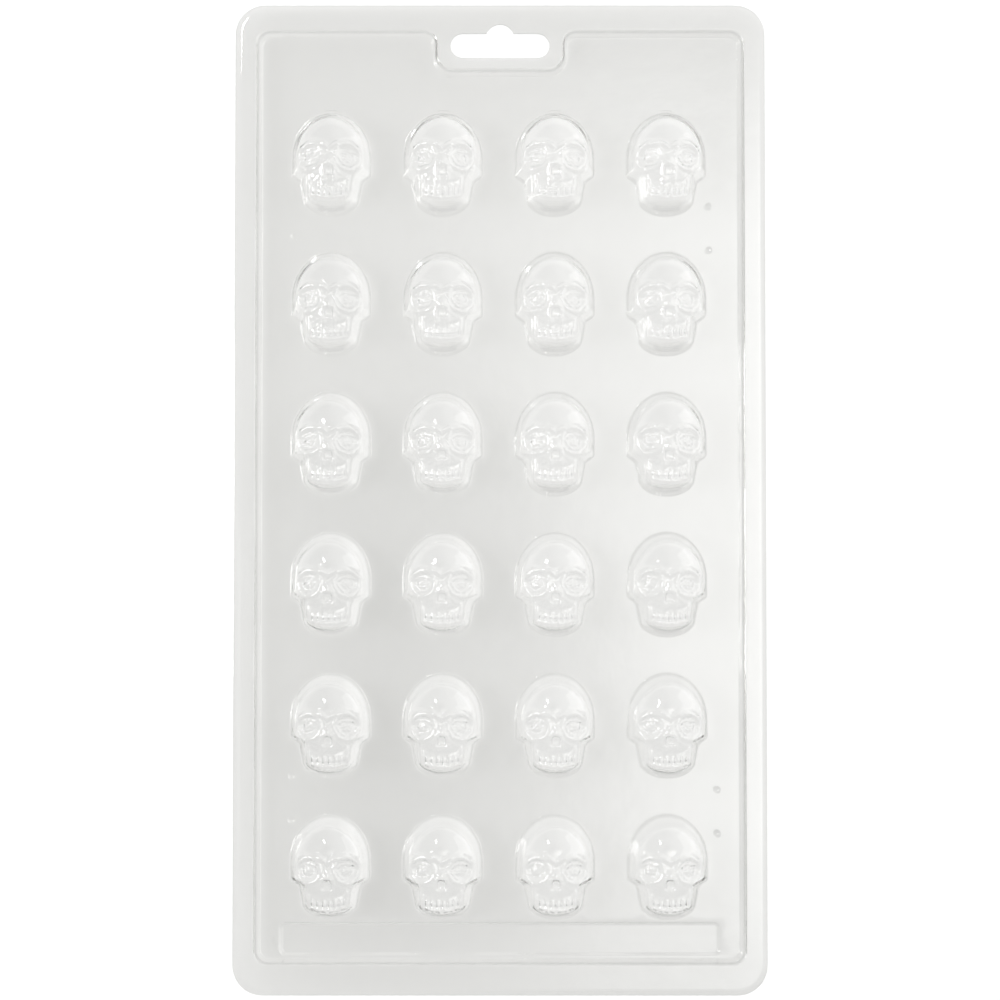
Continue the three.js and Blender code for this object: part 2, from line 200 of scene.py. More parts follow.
muzzle_height, muzzle_half_width, muzzle_edge = 7.35, 4.9, 0.6
muzzle_side_slope, muzzle_slope_start, muzzle_edge_rise = 0.2, 1.5, 0.3
muzzle_chin_slope, muzzle_chin_start = 0.02, -3
muzzle_head, muzzle_foot, muzzle_most = (-2.2, -4.0), (-11.6, -10.6), 2


def muzzle(side, y, height):
    """What fills the face up to the level plate that the teeth stand on."""
    plate = muzzle_height - muzzle_side_slope * np.clip(side - muzzle_slope_start, 0, None)
    plate -= muzzle_chin_slope * np.clip(muzzle_chin_start - y, 0, None)
    plate += fold(side, y) + muzzle_edge_rise * hump((side - muzzle_half_width) / muzzle_edge)
    share = smooth(muzzle_half_width + muzzle_edge, muzzle_half_width, side)
    share *= smooth(*muzzle_head, y) * smooth(*muzzle_foot, y)
    return np.clip(plate - height, 0, muzzle_most) * share


mouth_level, mouth_curve, mouth_cut, mouth_end = -8.4, 0.018, 0.28, (5.3, 4.5)
tooth_width, tooth_height, tooth_rise, tooth_end = 1.4, 1.5, 0.15, (4.9, 4.3)
tooth_cut, cut_half_width, tooth_fade = 0.65, 0.42, 0.4


def mouth(side, y):
    """Two rows of teeth with cuts between them, and the line where they meet."""
    away = np.abs(y - (mouth_level + mouth_curve * side * side))
    teeth = smooth(tooth_height + tooth_fade, tooth_height - tooth_fade, away)
    teeth *= smooth(*tooth_end, side)
    gap = np.abs((side + tooth_width / 2) % tooth_width - tooth_width / 2)
    height = tooth_rise * teeth - tooth_cut * teeth * hump(gap / cut_half_width)
    return height - mouth_cut * smooth(*mouth_end, side) * hump(away / cut_half_width)


cheekbone_middle, cheekbone_half, cheekbone_rise = (6.2, -2.9), (2.0, 1.25), 0.75
hollow_middle, hollow_half, hollow_depth = (6.4, -5.8), (1.4, 2.6), 0.6
dent_rise, flow_rise, carving_edge = 0.06, 0.03, (4.6, 3.4)


def face_height(x, y):
    """Height of the tool's face above its deck, before the walls cut it off."""
    side = np.abs(x)
    height = dome(side, y) + brow(side, y) + eye(x, y) + nose(side, y) + fold(side, y)
    height += cheekbone_rise * oval(side, y, cheekbone_middle, cheekbone_half)
    height -= hollow_depth * oval(side, y, hollow_middle, hollow_half)
    height += muzzle(side, y, height)
    height += mouth(side, y)

    # the marks of hand carving, in two sizes, below the forehead
    dents = np.sin(2.3 * x + 1.3 * np.sin(1.9 * y)) * np.sin(2.7 * y + 1.1 * np.sin(1.7 * x + 2))
    flow = np.sin(1.1 * x + 0.8 * y + 1.5) * np.sin(0.9 * y - 0.5 * x)
    return height + (dent_rise * dents + flow_rise * flow) * smooth(*carving_edge, y)


def inside(loop, points):
    """Which points lie inside a closed loop."""
    x, y = points[:, 0], points[:, 1]
    found = np.zeros(len(points), bool)
    for (ax, ay), (bx, by) in zip(loop, np.roll(loop, -1, 0)):
        if ay != by:
            crosses = (ay > y) != (by > y)
            found ^= crosses & (x < ax + (y - ay) / (by - ay) * (bx - ax))
    return found


def gap_to(loops, points, batch=400):
    """Distance from each point to the nearest point of the loops."""
    corners = np.concatenate(loops)
    gaps = [
        np.sqrt(((part[:, None] - corners) ** 2).sum(2).min(1))
        for part in np.array_split(points, len(points) // batch + 1)
    ]
    return np.concatenate(gaps)


def lower_of(a, b, blend):
    """The lower of two heights, with the crease between them rounded."""
    share = np.clip(0.5 + (b - a) / blend / 2, 0, 1)
    return b + (a - b) * share - blend * share * (1 - share)


# Relief of one skull on a fine grid. The walls climb from the foot to the face, in two steps
# at the chin and more gently at the crown
cell, map_half_width, map_half_height = 0.1, 11.5, 15.5
chin_reach_y, chin_reach_x = (-7.5, -12.0), (7.5, 4.0)
chin_ledge, chin_ledge_height, chin_ledge_end = 0.62, 0.36, 0.95
crown_reach_y, crown_spread = (5.0, 12.5), 0.42
foot_blend, side_foot_blend, side_foot_y = 0.4, 0.35, (-9.0, -11.0)
shoulder_blend, crease_radius = 0.6, 0.2
under_softening, top_softening = 1, 2
far = 9  # well beyond the wall, where the climb goes on evenly

grid_columns = np.arange(-map_half_width, map_half_width + cell / 2, cell)
grid_rows = np.arange(-map_half_height, map_half_height + cell / 2, cell)
gx, gy = np.meshgrid(grid_columns, grid_rows)
foot = skull_outline(wall_slip, 240)
cells = np.stack([gx.ravel(), gy.ravel()], 1)
inset_map = np.where(inside(foot, cells), 1, -1) * gap_to([foot], cells)
inset_map = inset_map.reshape(gx.shape)
chin_map = smooth(*chin_reach_y, gy) * smooth(*chin_reach_x, np.abs(gx))
crown_map = smooth(*crown_reach_y, gy)
climb = inset_map / (wall_run + (chin_run - wall_run) * chin_map + crown_spread * crown_map)
ledge = np.interp(
    climb, [-far, 0, chin_ledge, chin_ledge_end, far], [-far, 0, chin_ledge_height, 1, far]
)
wall_map = wall_height * (climb + (ledge - climb) * chin_map)
under_map = lower_of(wall_map, face_height(gx, gy), shoulder_blend)
side_map = (1 - smooth(*side_foot_y, gy)) * (1 - crown_map)
blend_map = foot_blend + side_foot_blend * side_map
under_map = -lower_of(-under_map, np.zeros_like(under_map), blend_map)


def grown(heights, radius):
    """Surface that a ball of this radius, rolled over a height map, leaves on its far side."""
    reach = round(radius / cell)
    result = heights + radius
    for i in range(-reach, reach + 1):
        for j in range(-reach, reach + 1):
            span = hypot(i, j) * cell
            if span <= radius:
                rise = (radius**2 - span**2) ** 0.5
                result = np.maximum(result, np.roll(heights, (i, j), (0, 1)) + rise)
    return result


def soften(heights, rounds):
    """Takes the sharpness off a height map."""
    for _ in range(rounds):
        for axis in (0, 1):
            heights = (np.roll(heights, 1, axis) + 2 * heights + np.roll(heights, -1, axis)) / 4
    return heights


under_map = -grown(-grown(under_map, crease_radius), crease_radius)
top_map = soften(grown(under_map, thickness), top_softening)
under_map = soften(under_map, under_softening)


def sample(heights, points):
    """Height map read at plan points."""
    column = (points[:, 0] - grid_columns[0]) / cell
    row = (points[:, 1] - grid_rows[0]) / cell
    i = np.clip(column.astype(int), 0, len(grid_columns) - 2)
    j = np.clip(row.astype(int), 0, len(grid_rows) - 2)
    u, v = column - i, row - j
    lower = heights[j, i] * (1 - u) + heights[j, i + 1] * u
    upper = heights[j + 1, i] * (1 - u) + heights[j + 1, i + 1] * u
    return lower * (1 - v) + upper * v


def ring_triangles(inner, outer):
    """Triangles between two rings of point numbers, both anticlockwise."""
    inner_next, outer_next = np.roll(inner, -1), np.roll(outer, -1)
    return np.concatenate(
        [np.stack([inner, outer, outer_next], 1), np.stack([inner, outer_next, inner_next], 1)]
    )


def lattice(left, right, bottom, top, spacing, row_share=0.87):
    """Points in staggered rows over a rectangle."""
    rows = int((top - bottom) / (row_share * spacing))
    across = int((right - left) / spacing)
    points = [
        (left + spacing * (i + 0.5 * (j % 2)), bottom + (top - bottom) * j / rows)
        for j in range(rows + 1)
        for i in range(across + 1)
    ]
    return np.array(points)


def mesh_between(outline, holes, loose, same_point=1e-5):
    """Plan points and triangles that fill an outline around its holes, through loose points."""
    loops = [outline, *holes]
    points = np.concatenate([*loops, loose])
    edges, first = [], 0
    for loop in loops:
        numbers = first + np.arange(len(loop))
        edges += list(zip(numbers.tolist(), np.roll(numbers, -1).tolist()))
        first += len(loop)
    vectors = [Vector(point) for point in points]
    places, _, faces, *_ = delaunay_2d_cdt(vectors, edges, [], 0, same_point)
    plan = np.array([(p.x, p.y) for p in places])
    triangles = np.array(faces)
    middles = plan[triangles].mean(1)
    wanted = inside(outline, middles)
    for hole in holes:
        wanted &= ~inside(hole, middles)
    return plan, triangles[wanted]


# Mesh of one skull: rings down its walls, close points over its face and wider ones around
wall_places = (
    -0.62, -0.48, -0.36, -0.25, -0.15, -0.05, 0.05, 0.15, 0.27, 0.4, 0.56,
    0.75, 0.95, 1.15, 1.35, 1.55, 1.7, 1.85, 2.0, 2.2, 2.5,
)
face_spacing, face_half_width, face_foot, face_head = 0.28, 7.6, -10.6, 4.6
jaw_half, cheek_extra, cheek_level = 5.9, 1.7, (-3.6, -2.6)
around_spacing, around_box = 0.6, (-9, 9, -12, 13)
around_clear, ring_clear = 0.35, 0.3

wall_rings = [skull_outline(inset) for inset in wall_places]
skull_border = wall_rings[0]
numbers = np.arange(len(wall_rings) * len(skull_border)).reshape(len(wall_rings), -1)
skull_faces = [ring_triangles(inner, outer) for outer, inner in zip(numbers, numbers[1:])]
features = lattice(-face_half_width, face_half_width, face_foot, face_head, face_spacing)
reach = jaw_half + cheek_extra * smooth(*cheek_level, features[:, 1])
features = features[np.abs(features[:, 0]) < reach]
around = lattice(*around_box, around_spacing)
around = around[gap_to([features], around) > around_clear]
loose = np.concatenate([features, around])
loose = loose[inside(wall_rings[-1], loose)]
loose = loose[gap_to([wall_rings[-1]], loose) > ring_clear]
face_plan, face_faces = mesh_between(wall_rings[-1], [], loose)
skull_plan = np.concatenate([*wall_rings, face_plan])
skull_faces = np.concatenate([*skull_faces, face_faces + numbers.size])
skull_under = sample(under_map, skull_plan)
skull_top = sample(top_map, skull_plan)


ripple_height = 0.03


def ripple(x, y):
    """Slow waves that cooling leaves in the sheet, never below 0."""
    waves = (
        np.sin(x / 9.1 + 1.7 * np.sin(y / 31.0))
        + np.sin(y / 13.7 + 1.3 * np.sin(x / 17.0) + 2.0)
        + np.sin((x + 0.7 * y) / 11.9 + 0.6)
    )
    return ripple_height * (1 + waves / 3)


patches = []


def add_patch(plan, triangles, under, top):
    """Keeps one piece of the sheet: points in plan, and the heights of both surfaces there."""
    swell = ripple(plan[:, 0], plan[:, 1])
    patches.append((plan, np.asarray(triangles), under + swell, top + swell))


skull_places = [
    (
        grid_x + (column - (skull_columns - 1) / 2) * column_pitch,
        grid_y + ((skull_rows - 1) / 2 - row) * row_pitch,
    )
    for row in range(skull_rows)
    for column in range(skull_columns)
]
for place in skull_places:
    add_patch(skull_plan + place, skull_faces, deck_under + skull_under, deck_under + skull_top)

# Rim. The flange runs round the sheet above the deck and keeps it stiff. Its outer lip turns
# down, and a hang tab reaches into the deck, with a round-ended slot punched through it once
# the sheet is cold.
_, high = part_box("mould_sheet")
half_width = high.x / MM
half_length = high.y / MM
step_height, step_run, step_fullness, step_shoulder = 3.2, 1.4, 2.2, 0.3
flange_under = deck_under + step_height
flange_side, flange_top, flange_bottom = 5.2, 6.15, 7.35
sheet_corner, lip_width, lip_drop, lip_fullness = 7.5, 1.5, 0.3, 1.4
deck_corner = 2.2
tab_width, tab_reach, tab_neck, tab_end_corner = 31.5, 16.0, 2.0, 5.2
slot_length, slot_height, slot_from_edge = 24.8, 6.1, 10.3
slot_crown_radius, slot_crown_rise = 3.6, 1.8

deck_side = half_width - flange_side - step_run
deck_head = half_length - flange_top - step_run
deck_foot = -half_length + flange_bottom + step_run
tab_side = tab_width / 2 + step_run
tab_end = half_length - tab_reach - step_run
deck_corners = [
    (-deck_side, deck_foot, deck_corner),
    (deck_side, deck_foot, deck_corner),
    (deck_side, deck_head, deck_corner),
    (tab_side, deck_head, tab_neck),
    (tab_side, tab_end, tab_end_corner),
    (-tab_side, tab_end, tab_end_corner),
    (-tab_side, deck_head, tab_neck),
    (-deck_side, deck_head, deck_corner),
]
edge_corners = [
    (-half_width, -half_length, sheet_corner),
    (half_width, -half_length, sheet_corner),
    (half_width, half_length, sheet_corner),
    (-half_width, half_length, sheet_corner),
]


def rounded_loop(corners, grow, arc_steps=10, spacing=2.5):
    """Anticlockwise outline through corners of (x, y, radius), moved outwards by grow."""
    arcs, spans = [], []
    count = len(corners)
    for i, (x, y, radius) in enumerate(corners):
        here = np.array([x, y])
        before, after = (np.array(corners[k % count][:2]) for k in (i - 1, i + 1))
        inwards = (here - before) / hypot(*(here - before))
        onwards = (after - here) / hypot(*(after - here))
        side = np.sign(inwards[0] * onwards[1] - inwards[1] * onwards[0])
        centre = here + radius * (onwards - inwards)
        spokes = [
            cos(angle) * -onwards + sin(angle) * inwards
            for angle in np.linspace(0, pi / 2, arc_steps + 1)
        ]
        arcs.append([centre + (radius + side * grow) * spoke for spoke in spokes])
        spans.append(hypot(*(after - here)) - radius - corners[(i + 1) % count][2])
    loop = []
    for i, arc in enumerate(arcs):
        steps = max(1, round(spans[i] / spacing))
        ahead = arcs[(i + 1) % count][0]
        loop += arc[:-1]
        loop += [arc[-1] + (ahead - arc[-1]) * k / steps for k in range(steps)]
    return np.array(loop)


def step_profile(out):
    """Underside of the step, by the distance outwards from its foot on the top."""
    share = np.clip(out / step_run, 0, 2)
    rise = step_height * share**step_fullness
    return deck_under + lower_of(rise, np.full_like(rise, step_height), step_shoulder)


def lip_profile(inwards):
    """Underside of the lip, by the distance inwards from the edge."""
    return flange_under - lip_drop * np.clip(1 - inwards / lip_width, 0, 1) ** lip_fullness


def draped(profile, at, steps=41):
    """Top of the sheet over a profile of its underside, at these distances along it."""
    slide = np.linspace(-thickness, thickness, steps)
    reach = np.asarray(at)[:, None] + slide
    return (profile(reach) + np.sqrt(thickness**2 - slide**2)).max(1)


def add_band(rings, under, top):
    """A patch between rings with as many points each, from the innermost to the outermost."""
    count = len(rings[0])
    numbers = np.arange(len(rings) * count).reshape(len(rings), count)
    triangles = np.concatenate([ring_triangles(a, b) for a, b in zip(numbers, numbers[1:])])
    add_patch(np.concatenate(rings), triangles, np.repeat(under, count), np.repeat(top, count))


step_places = np.array([
    -0.12, 0.0, 0.1, 0.2, 0.3, 0.4, 0.52, 0.66, 0.8, 0.94,
    1.08, 1.2, 1.3, 1.4, 1.5, 1.62, 1.8, 2.1, 2.4,
])
step_rings = [rounded_loop(deck_corners, out) for out in step_places]
add_band(step_rings, step_profile(step_places), draped(step_profile, step_places))

lip_places = np.array([2.2, 1.8, 1.5, 1.2, 0.9, 0.6, 0.3, 0.12, 0.0])
lip_rings = [rounded_loop(edge_corners, -back) for back in lip_places]
add_band(lip_rings, lip_profile(lip_places), lip_profile(lip_places) + thickness)


def slot_outline(arc_points=25, bar_points=14):
    """Anticlockwise outline of the hang slot: a round-ended bar and a round crown over it."""
    middle = half_length - slot_from_edge
    radius = slot_height / 2
    reach = slot_length / 2 - radius
    rise = np.arcsin((radius - slot_crown_rise) / slot_crown_radius)
    turns = np.linspace(0, pi, arc_points)
    loop = [(-reach - radius * sin(a), middle + radius * cos(a)) for a in turns]
    loop += [(x, middle - radius) for x in np.linspace(-reach, reach, bar_points)[1:-1]]
    loop += [(reach + radius * sin(a), middle - radius * cos(a)) for a in turns]
    loop += [
        (slot_crown_radius * cos(a), middle + slot_crown_rise + slot_crown_radius * sin(a))
        for a in np.linspace(rise, pi - rise, arc_points)
    ]
    return np.array(loop)


slot_loop = slot_outline()
flange_spacing, flange_clear = 2.6, 1.3
loose = lattice(-half_width, half_width, -half_length, half_length, flange_spacing)
on_flange = inside(lip_rings[0], loose) & ~inside(step_rings[-1], loose)
loose = loose[on_flange & ~inside(slot_loop, loose)]
loose = loose[gap_to([lip_rings[0], step_rings[-1], slot_loop], loose) > flange_clear]
flange_plan, flange_faces = mesh_between(lip_rings[0], [step_rings[-1], slot_loop], loose)
level = np.full(len(flange_plan), flange_under)
add_patch(flange_plan, flange_faces, level, level + thickness)

# Label panel. A shallow, bare recess along the foot of the deck, with sloping walls, formed
# with the rest of the sheet.
panel_end_gap, panel_height, panel_depth = 4.7, 8.45, 0.7
panel_run, panel_corner, panel_to_step = 0.9, 1.7, 0.35
panel_end = deck_side - panel_end_gap
panel_foot = deck_foot + panel_to_step
panel_head = panel_foot + panel_height
panel_corners = [
    (-panel_end, panel_foot, panel_corner),
    (panel_end, panel_foot, panel_corner),
    (panel_end, panel_head, panel_corner),
    (-panel_end, panel_head, panel_corner),
]
panel_slip = thickness * tan(0.5 * np.arctan2(panel_depth, panel_run))


def panel_profile(out):
    """Underside of the panel's wall, by the distance outwards from its top edge."""
    return deck_under - panel_depth * smooth(panel_slip, panel_slip - panel_run, out)


panel_places = np.array([-1.2, -0.95, -0.8, -0.65, -0.5, -0.35, -0.2, -0.1, 0.0, 0.15])
panel_rings = [rounded_loop(panel_corners, out, 6) for out in panel_places]
add_band(panel_rings, panel_profile(panel_places), draped(panel_profile, panel_places))
panel_spacing, panel_clear = 2.4, 1.2
loose = lattice(-panel_end, panel_end, panel_foot, panel_head, panel_spacing)
loose = loose[inside(panel_rings[0], loose)]
loose = loose[gap_to([panel_rings[0]], loose) > panel_clear]
floor_plan, floor_faces = mesh_between(panel_rings[0], [], loose)
level = np.full(len(floor_plan), deck_under - panel_depth)
add_patch(floor_plan, floor_faces, level, level + thickness)

# Deck. The level web of the sheet between the skulls. Where the tool has air holes, near the
# two long sides, the soft plastic was sucked down in small pips.
pip_radius, pip_depth = 0.75, 0.6
pip_places = [
    (52.4, 73.6), (52.5, 62.5), (-51.9, 65.8), (-52.2, -69.8),
    (-52.2, -80.8), (54.2, -73.3), (54.2, -84.2),
]
pip_turns = np.linspace(0, 2 * pi, 15)[:-1]
pip_ring_radii = (1.2, 0.85, 0.5, 0.2)
pip_rings = [
    np.array([(x + r * cos(a), y + r * sin(a)) for a in pip_turns])
    for x, y in pip_places
    for r in pip_ring_radii
]
deck_spacing, deck_clear = 2.3, 1.1
deck_holes = [panel_rings[-1], *(skull_border + place for place in skull_places)]
loose = lattice(-deck_side, deck_side, deck_foot, deck_head, deck_spacing)
loose = loose[inside(step_rings[0], loose)]
for hole in deck_holes:
    loose = loose[~inside(hole, loose)]
loose = loose[gap_to([step_rings[0], *deck_holes, *pip_rings], loose) > deck_clear]
loose = np.concatenate([loose, *pip_rings])
deck_plan, deck_faces = mesh_between(step_rings[0], deck_holes, loose)
level = np.full(len(deck_plan), deck_under)
for x, y in pip_places:
    level -= pip_depth * hump(np.hypot(deck_plan[:, 0] - x, deck_plan[:, 1] - y) / pip_radius)
add_patch(deck_plan, deck_faces, level, level + thickness)

# Whole sheet. Clear glossy plastic, trimmed along its edge once it is cold. The patches share
# their borders, so equal plan points become one, and the top and the underside are closed
# along the cut edge and round the slot.
least_area, same_place = 1e-9, 3  # the second is in decimals of a millimetre
plan = np.concatenate([patch[0] for patch in patches])
starts = np.cumsum([0] + [len(patch[0]) for patch in patches])
faces = np.concatenate([patch[1] + start for patch, start in zip(patches, starts)])
under = np.concatenate([patch[2] for patch in patches])
top = np.concatenate([patch[3] for patch in patches])
_, kept, merged = np.unique(
    np.round(plan, same_place), axis=0, return_index=True, return_inverse=True
)
faces = merged.ravel()[faces]
plan, under, top = plan[kept], under[kept], top[kept]
corners = plan[faces]
turn = np.cross(corners[:, 1] - corners[:, 0], corners[:, 2] - corners[:, 0])
faces[turn < 0] = faces[turn < 0][:, ::-1]
faces = faces[np.abs(turn) > least_area]
count = len(plan)
sides = np.concatenate([faces[:, [0, 1]], faces[:, [1, 2]], faces[:, [2, 0]]])
keys = sides[:, 0] * count + sides[:, 1]
border = sides[~np.isin(keys, sides[:, 1] * count + sides[:, 0])]
walls = np.concatenate(
    [
        np.stack([border[:, 0], border[:, 0] + count, border[:, 1] + count], 1),
        np.stack([border[:, 0], border[:, 1] + count, border[:, 1]], 1),
    ]
)
shell = np.concatenate([faces, faces[:, ::-1] + count, walls])
points = np.concatenate([np.column_stack([plan, top]), np.column_stack([plan, under])]) * MM
mesh = bpy.data.meshes.new("mould_sheet_form")
mesh.from_pydata(points.tolist(), [], shell.tolist())
mesh.validate()
smooth_faces = np.ones(len(shell), bool)
smooth_faces[-len(walls):] = False
mesh.polygons.foreach_set("use_smooth", smooth_faces)
ends = np.empty(2 * len(mesh.edges), int)
mesh.edges.foreach_get("vertices", ends)
ends = np.sort(ends.reshape(-1, 2), 1)
rims = np.sort(np.concatenate([border, border + count]), 1)
sharp = np.isin(ends[:, 0] * 2 * count + ends[:, 1], rims[:, 0] * 2 * count + rims[:, 1])
mesh.attributes.new("sharp_edge", "BOOLEAN", "EDGE").data.foreach_set("value", sharp)
sheet = bpy.data.objects.new("mould_sheet_form", mesh)
bpy.context.scene.collection.objects.link(sheet)
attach(sheet, "root")
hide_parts("mould_sheet")


class Wire:
    """A shader socket that takes part in Python arithmetic, and adds nodes to its tree."""

    def __init__(self, tree, socket=None):
        self.tree, self.socket = tree, socket

    def node(self, kind, sockets, output=0, **settings):
        """Adds a node: first its settings, then the values or links of its sockets."""
        made = self.tree.nodes.new("ShaderNode" + kind)
        for setting, value in settings.items():
            setattr(made, setting, value)
        for key, value in sockets.items():
            if isinstance(value, Wire):
                self.tree.links.new(value.socket, made.inputs[key])
            else:
                made.inputs[key].default_value = value
        return Wire(self.tree, made.outputs[output] if made.outputs else None)

    def maths(self, operation, *values):
        """A Math node on these values."""
        return self.node("Math", dict(enumerate(values)), operation=operation)

    def __add__(self, other):
        return self.maths("ADD", self, other)

    def __sub__(self, other):
        return self.maths("SUBTRACT", self, other)

    def __mul__(self, other):
        return self.maths("MULTIPLY", self, other)

    __radd__, __rmul__ = __add__, __mul__

    def __rsub__(self, other):
        return self.maths("SUBTRACT", other, self)

    def ramp(self, start, end):
        """Share that grows from 0 at start to 1 at end, level at both."""
        entries = {"Value": self, "From Min": start, "From Max": end}
        return self.node("MapRange", entries, interpolation_type="SMOOTHSTEP")

    def blend(self, before, after):
        """Colour between two, by this share."""
        entries = {"Factor": self, "A": before, "B": after}
        return self.node("Mix", entries, "Result", data_type="RGBA")


def blank_tree(owner):
    """Emptied node tree of a material or a world."""
    owner.use_nodes = True
    owner.node_tree.nodes.clear()
    return Wire(owner.node_tree)


# The plastic itself: clear and glossy, grey tinted, with light and shade painted into its colour
clear_plastic = bpy.data.materials.new("clear_plastic")
plastic = blank_tree(clear_plastic)
spot = plastic.node("TexCoord", {}, "Object")
across, along, up = (plastic.node("SeparateXYZ", {"Vector": spot}, axis) for axis in "XYZ")

# A skull's own coordinates, measured from its middle
column_step, row_step = column_pitch * MM, row_pitch * MM
own_across = across.maths("WRAP", across - grid_x * MM, column_step, 0.0) - 0.5 * column_step
own_along = along.maths("WRAP", along - grid_y * MM, row_step, 0.0) - 0.5 * row_step
own_across_squared = own_across * own_across

# Painted light and shade over the plastic's own grey tint: skull walls and faces lighter, and
# painted shade along each chin and the rim step's shoulder. The limits are in metres, each pair
# for one soft edge
field_outer, field_inner = 0.055, 0.053
field_head, field_foot = (0.101, 0.099), (-0.1075, -0.1065)
wall_up, face_up = (0.0015, 0.0028), (0.0058, 0.0072)
above_chin_along, least_above_chin = (-0.0106, -0.0092), 0.1
deck_tint = (0.785, 0.785, 0.772, 1)
in_field = (across * across).ramp(field_outer**2, field_inner**2)
in_field = in_field * along.ramp(*field_head) * along.ramp(*field_foot)
above_chin = least_above_chin + (1 - least_above_chin) * own_along.ramp(*above_chin_along)

# Painted light: skull walls lighter than the deck, the right-hand walls lighter than the left ones
left_wall_shaded_tint, right_wall_lit_tint = (0.88, 0.88, 0.87, 1), (0.95, 0.95, 0.94, 1)
lit_wall_across = (0.002, 0.006)
wall_painted_light = own_across.ramp(*lit_wall_across).blend(left_wall_shaded_tint, right_wall_lit_tint)
wall_part = in_field * above_chin * up.ramp(*wall_up)
tint_and_painted_light = wall_part.blend(deck_tint, wall_painted_light)

# Painted light: the faces lighter than the deck, and lighter from the left of the sheet to the
# right
left_face_shaded_tint, right_face_lit_tint = (0.8, 0.8, 0.79, 1), (0.865, 0.865, 0.855, 1)
lit_face_across = (-0.055, 0.015)
face_painted_light = across.ramp(*lit_face_across).blend(left_face_shaded_tint, right_face_lit_tint)
face_part = in_field * above_chin * up.ramp(*face_up)
tint_and_painted_light = face_part.blend(tint_and_painted_light, face_painted_light)

# Painted shade: a dark crescent along each chin, under its ledge
chin_painted_shade, chin_curve = (0.7, 0.7, 0.69, 1), 50
chin_upper_edge, chin_lower_edge = (-0.0110, -0.0114), (-0.0122, -0.0118)
chin_outer, chin_inner = 0.0042, 0.0024
chin_line = own_along - chin_curve * own_across_squared
chin_shade_part = chin_line.ramp(*chin_upper_edge) * chin_line.ramp(*chin_lower_edge)
chin_shade_part = in_field * chin_shade_part * own_across_squared.ramp(chin_outer**2, chin_inner**2)
tint_and_painted_light = chin_shade_part.blend(tint_and_painted_light, chin_painted_shade)

# Painted shade: a dark band along the shoulder of the rim's step
shoulder_painted_shade = (0.68, 0.68, 0.67, 1)
shoulder_foot, shoulder_head = (0.0022, 0.0031), (0.0039, 0.0036)
shoulder_shade_part = (1 - in_field) * up.ramp(*shoulder_foot) * up.ramp(*shoulder_head)
tint_and_painted_light = shoulder_shade_part.blend(tint_and_painted_light, shoulder_painted_shade)

# Stippled floors of the sockets, in a round patch at each eye
stipple_outer, stipple_inner, stipple_bump = 2.3 * MM, 1.2 * MM, 0.26
eye_across = across.maths("ABSOLUTE", own_across) - 0.5 * eye_spacing * MM
eye_along = own_along - eye_level * MM
from_eye = eye_across * eye_across + eye_along * eye_along
in_socket = from_eye.ramp(stipple_outer**2, stipple_inner**2) * face_part
flat_spot = plastic.node("Mapping", {"Vector": spot, "Scale": (1, 1, 0)})
specks = plastic.node("TexNoise", {"Vector": flat_spot, "Scale": 1500.0, "Detail": 1.0})

# Gloss, dulled by a faint haze and by slanting rubs from stacking
gloss, haze_most, rub_most = 0.02, 0.05, 0.12
haze_limits, rub_limits = (0.45, 0.75), (0.66, 0.78)
rub_turn, rub_stretch = (0, 0, 0.9), (40, 1400, 40)
haze = plastic.node("TexNoise", {"Vector": spot, "Scale": 55.0, "Detail": 5.0, "Roughness": 0.6})
rub_spot = plastic.node("Mapping", {"Vector": spot, "Rotation": rub_turn, "Scale": rub_stretch})
rubs = plastic.node(
    "TexNoise", {"Vector": rub_spot, "Scale": 1.0, "Detail": 3.0, "Roughness": 0.7}
)
roughness = gloss + haze_most * haze.ramp(*haze_limits) + rub_most * rubs.ramp(*rub_limits)

# Soft waves and fine peel of drawn plastic, under the stipple of the sockets
wave_bump, peel_bump = 0.02, 0.003
peel = plastic.node("TexNoise", {"Vector": spot, "Scale": 900.0, "Detail": 2.0})
waves = plastic.node("TexNoise", {"Vector": spot, "Scale": 190.0, "Detail": 2.0})
relief = wave_bump * waves + peel_bump * peel + stipple_bump * (specks * in_socket)
bumps = plastic.node("Bump", {"Strength": 1.0, "Distance": MM, "Height": relief})
glass = plastic.node(
    "BsdfPrincipled",
    {
        "Base Color": tint_and_painted_light,
        "Roughness": roughness,
        "IOR": 1.57,
        "Transmission Weight": 1.0,
        "Normal": bumps,
    },
)

# Light that only passes through on its way to a lamp or the room goes straight on
shade = plastic.node("BsdfTransparent", {"Color": (0.92, 0.92, 0.915, 1)})
to_lamp = plastic.node("LightPath", {}, "Is Shadow Ray")
to_room = plastic.node("LightPath", {}, "Is Diffuse Ray")
passing = to_lamp.maths("MAXIMUM", to_lamp, to_room)
surface = plastic.node("MixShader", {0: passing, 1: glass, 2: shade})
plastic.node("OutputMaterial", {"Surface": surface})
mesh.materials.append(clear_plastic)

# Floor. A wide sheet of white paper that the mould lies on. It glows a little where it is
# looked at, straight on or through the plastic, so that it shows white.
floor_half, floor_gap, floor_glow = 1.5, 0.1 * MM, 0.34
floor_mesh = bpy.data.meshes.new("floor")
floor_corners = [
    (-floor_half, -floor_half, 0),
    (floor_half, -floor_half, 0),
    (floor_half, floor_half, 0),
    (-floor_half, floor_half, 0),
]
floor_mesh.from_pydata(floor_corners, [], [(0, 1, 2, 3)])
floor = bpy.data.objects.new("floor", floor_mesh)
floor.location.z = -floor_gap
bpy.context.scene.collection.objects.link(floor)
floor_paper = bpy.data.materials.new("floor_paper")
paper = blank_tree(floor_paper)
matt = paper.node("BsdfDiffuse", {"Color": (0.8, 0.8, 0.8, 1)})
glow = paper.node("Emission", {"Color": (1, 1, 1, 1), "Strength": floor_glow})
lit = paper.node("AddShader", {0: matt, 1: glow})
